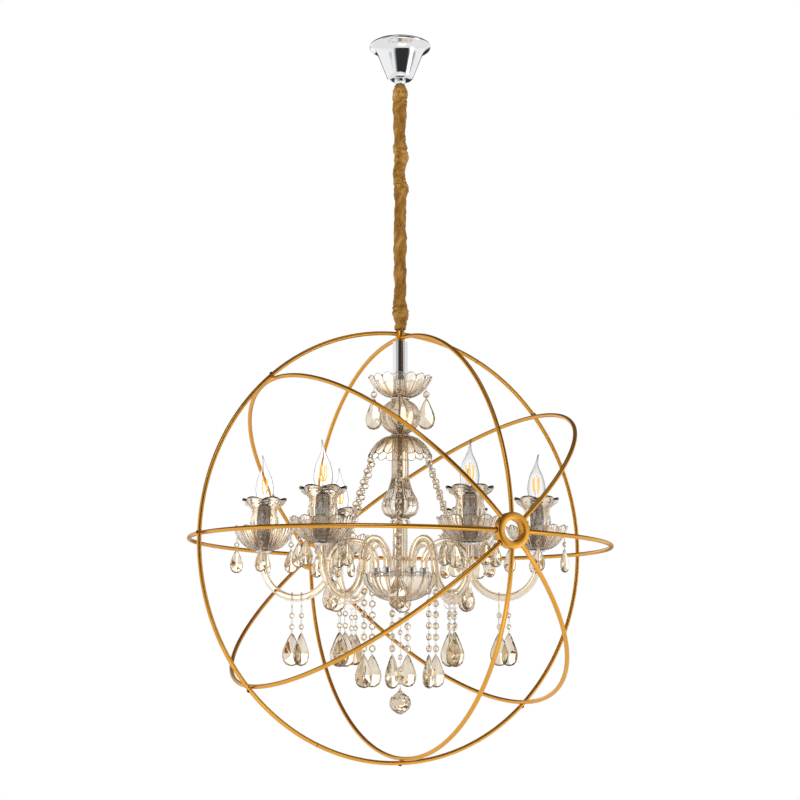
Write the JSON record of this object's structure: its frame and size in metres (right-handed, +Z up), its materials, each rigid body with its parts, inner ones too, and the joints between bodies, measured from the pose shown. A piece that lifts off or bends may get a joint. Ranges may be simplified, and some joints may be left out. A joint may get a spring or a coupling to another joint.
{
  "type": "orb chandelier",
  "caption": "Ceiling-hung orb chandelier: candle lights on curved glass arms with crystal drops inside a globe of gold metal rings, on a chain in a gathered fabric sleeve.",
  "frame": {"origin": "centre of the canopy's rim, in the ceiling plane", "axes": "+Z up into the ceiling; +Y along the axis of the cage's two hubs, the front hub at -Y; +X to the right seen from the front hub"},
  "size_m": [0.8258, 0.8116, 1.4089],
  "materials": {
    "zinc_steel": "satin zinc plate",
    "brass": "plain drawn",
    "chrome": "mirror plated",
    "sleeve_cloth": "crinkled sheer weave with a soft sheen",
    "gold_metal": "satin gold lacquer",
    "dark_steel": "blackened",
    "tinted_glass": "pressed champagne glass, polished",
    "cut_crystal": "cut and polished",
    "bulb_glass": "clear blown glass"
  },
  "bodies": {
    "ceiling_plate": {"ceiling_bracket": "zinc_steel", "nipple_and_nut": "brass", "canopy": "chrome", "canopy_collar": "chrome", "canopy_loop": "chrome"},
    "chain": {"chain_links": "brass", "cord_sleeve": "sleeve_cloth"},
    "orb_hook": {"orb_loop": "chrome"},
    "orb": {"cage_ring_level": "gold_metal", "cage_ring_rising": "gold_metal", "cage_ring_upright": "gold_metal", "cage_ring_falling": "gold_metal", "cage_band": "gold_metal", "cage_hubs": "gold_metal", "crown": "gold_metal", "band_screws": "dark_steel", "stem_tube": "chrome", "centre_rod": "zinc_steel", "top_dish": "tinted_glass", "column_trims": "chrome", "fluted_ball": "tinted_glass", "drop_dish": "tinted_glass", "fluted_vase": "tinted_glass", "vase_knob": "tinted_glass", "glass_tube": "tinted_glass", "arm_plate": "chrome", "lower_bowl": "tinted_glass", "finial_nut": "chrome", "glass_arms": "tinted_glass", "arm_ferrules": "chrome", "candle_pans": "tinted_glass", "candle_cups": "tinted_glass", "candle_sockets": "chrome", "pan_drops": "cut_crystal", "garlands": "cut_crystal"},
    "lamp_1": {"bulb_1": "bulb_glass"},
    "lamp_2": {"bulb_2": "bulb_glass"},
    "lamp_3": {"bulb_3": "bulb_glass"},
    "lamp_4": {"bulb_4": "bulb_glass"},
    "lamp_5": {"bulb_5": "bulb_glass"},
    "lamp_6": {"bulb_6": "bulb_glass"},
    "arm_pendant_1": {"arm_drops_1": "cut_crystal"},
    "arm_pendant_2": {"arm_drops_2": "cut_crystal"},
    "arm_pendant_3": {"arm_drops_3": "cut_crystal"},
    "arm_pendant_4": {"arm_drops_4": "cut_crystal"},
    "arm_pendant_5": {"arm_drops_5": "cut_crystal"},
    "arm_pendant_6": {"arm_drops_6": "cut_crystal"},
    "dish_pendant_1": {"top_drop_1": "cut_crystal"},
    "dish_pendant_2": {"top_drop_2": "cut_crystal"},
    "dish_pendant_3": {"top_drop_3": "cut_crystal"},
    "dish_pendant_4": {"top_drop_4": "cut_crystal"},
    "bowl_pendant_1": {"bowl_strand_1": "cut_crystal"},
    "bowl_pendant_2": {"bowl_strand_2": "cut_crystal"},
    "bowl_pendant_3": {"bowl_strand_3": "cut_crystal"},
    "bowl_pendant_4": {"bowl_strand_4": "cut_crystal"},
    "bowl_pendant_5": {"bowl_strand_5": "cut_crystal"},
    "bowl_pendant_6": {"bowl_strand_6": "cut_crystal"},
    "finial_pendant": {"finial_strand": "cut_crystal"}
  },
  "joints": [
    {"name": "chain_swing", "type": "hinge", "parent": "ceiling_plate", "child": "chain", "pos_m": [0, 0, -0.0989], "axis": [1, 0, 0], "range_deg": [-10, 10]},
    {"name": "orb_rock", "type": "hinge", "parent": "chain", "child": "orb_hook", "pos_m": [0, 0, -0.57098], "axis": [0, 1, 0], "range_deg": [-10, 10]},
    {"name": "orb_turn", "type": "hinge", "parent": "orb_hook", "child": "orb", "pos_m": [0, 0, -0.5821], "axis": [0, 0, 1], "range_deg": [-180, 180]},
    {"name": "bulb_1_thread", "type": "hinge", "parent": "orb", "child": "lamp_1", "pos_m": [0, -0.26, -0.92], "axis": [0, 0, 1], "range_deg": [-180, 180]},
    {"name": "bulb_2_thread", "type": "hinge", "parent": "orb", "child": "lamp_2", "pos_m": [0.22517, -0.13, -0.92], "axis": [0, 0, 1], "range_deg": [-180, 180]},
    {"name": "bulb_3_thread", "type": "hinge", "parent": "orb", "child": "lamp_3", "pos_m": [0.22517, 0.13, -0.92], "axis": [0, 0, 1], "range_deg": [-180, 180]},
    {"name": "bulb_4_thread", "type": "hinge", "parent": "orb", "child": "lamp_4", "pos_m": [0, 0.26, -0.92], "axis": [0, 0, 1], "range_deg": [-180, 180]},
    {"name": "bulb_5_thread", "type": "hinge", "parent": "orb", "child": "lamp_5", "pos_m": [-0.22517, 0.13, -0.92], "axis": [0, 0, 1], "range_deg": [-180, 180]},
    {"name": "bulb_6_thread", "type": "hinge", "parent": "orb", "child": "lamp_6", "pos_m": [-0.22517, -0.13, -0.92], "axis": [0, 0, 1], "range_deg": [-180, 180]},
    {"name": "arm_pendant_1_swing", "type": "hinge", "parent": "orb", "child": "arm_pendant_1", "pos_m": [0, -0.196, -1.097], "axis": [0, -1, 0], "range_deg": [-25, 25]},
    {"name": "arm_pendant_2_swing", "type": "hinge", "parent": "orb", "child": "arm_pendant_2", "pos_m": [0.16974, -0.098, -1.097], "axis": [0.866, -0.5, 0], "range_deg": [-25, 25]},
    {"name": "arm_pendant_3_swing", "type": "hinge", "parent": "orb", "child": "arm_pendant_3", "pos_m": [0.16974, 0.098, -1.097], "axis": [0.866, 0.5, 0], "range_deg": [-25, 25]},
    {"name": "arm_pendant_4_swing", "type": "hinge", "parent": "orb", "child": "arm_pendant_4", "pos_m": [0, 0.196, -1.097], "axis": [0, 1, 0], "range_deg": [-25, 25]},
    {"name": "arm_pendant_5_swing", "type": "hinge", "parent": "orb", "child": "arm_pendant_5", "pos_m": [-0.16974, 0.098, -1.097], "axis": [-0.866, 0.5, 0], "range_deg": [-25, 25]},
    {"name": "arm_pendant_6_swing", "type": "hinge", "parent": "orb", "child": "arm_pendant_6", "pos_m": [-0.16974, -0.098, -1.097], "axis": [-0.866, -0.5, 0], "range_deg": [-25, 25]},
    {"name": "dish_pendant_1_swing", "type": "hinge", "parent": "orb", "child": "dish_pendant_1", "pos_m": [-0.02525, -0.04373, -0.69475], "axis": [-0.5, -0.866, 0], "range_deg": [-25, 25]},
    {"name": "dish_pendant_2_swing", "type": "hinge", "parent": "orb", "child": "dish_pendant_2", "pos_m": [0.04373, -0.02525, -0.69475], "axis": [0.866, -0.5, 0], "range_deg": [-25, 25]},
    {"name": "dish_pendant_3_swing", "type": "hinge", "parent": "orb", "child": "dish_pendant_3", "pos_m": [0.02525, 0.04373, -0.69475], "axis": [0.5, 0.866, 0], "range_deg": [-25, 25]},
    {"name": "dish_pendant_4_swing", "type": "hinge", "parent": "orb", "child": "dish_pendant_4", "pos_m": [-0.04373, 0.02525, -0.69475], "axis": [-0.866, 0.5, 0], "range_deg": [-25, 25]},
    {"name": "bowl_pendant_1_swing", "type": "hinge", "parent": "orb", "child": "bowl_pendant_1", "pos_m": [0.02445, -0.06719, -1.0597], "axis": [-0.9397, -0.342, 0], "range_deg": [-9, 25]},
    {"name": "bowl_pendant_2_swing", "type": "hinge", "parent": "orb", "child": "bowl_pendant_2", "pos_m": [0.07041, -0.01242, -1.0597], "axis": [-0.1736, -0.9848, 0], "range_deg": [-9, 25]},
    {"name": "bowl_pendant_3_swing", "type": "hinge", "parent": "orb", "child": "bowl_pendant_3", "pos_m": [0.04596, 0.05477, -1.0597], "axis": [0.766, -0.6428, 0], "range_deg": [-9, 25]},
    {"name": "bowl_pendant_4_swing", "type": "hinge", "parent": "orb", "child": "bowl_pendant_4", "pos_m": [-0.02445, 0.06719, -1.0597], "axis": [0.9397, 0.342, 0], "range_deg": [-9, 25]},
    {"name": "bowl_pendant_5_swing", "type": "hinge", "parent": "orb", "child": "bowl_pendant_5", "pos_m": [-0.07041, 0.01242, -1.0597], "axis": [0.1736, 0.9848, 0], "range_deg": [-9, 25]},
    {"name": "bowl_pendant_6_swing", "type": "hinge", "parent": "orb", "child": "bowl_pendant_6", "pos_m": [-0.04596, -0.05477, -1.0597], "axis": [-0.766, 0.6428, 0], "range_deg": [-9, 25]},
    {"name": "finial_pendant_swing", "type": "hinge", "parent": "orb", "child": "finial_pendant", "pos_m": [0, 0, -1.1261], "axis": [1, 0, 0], "range_deg": [-15, 15]}
  ]
}
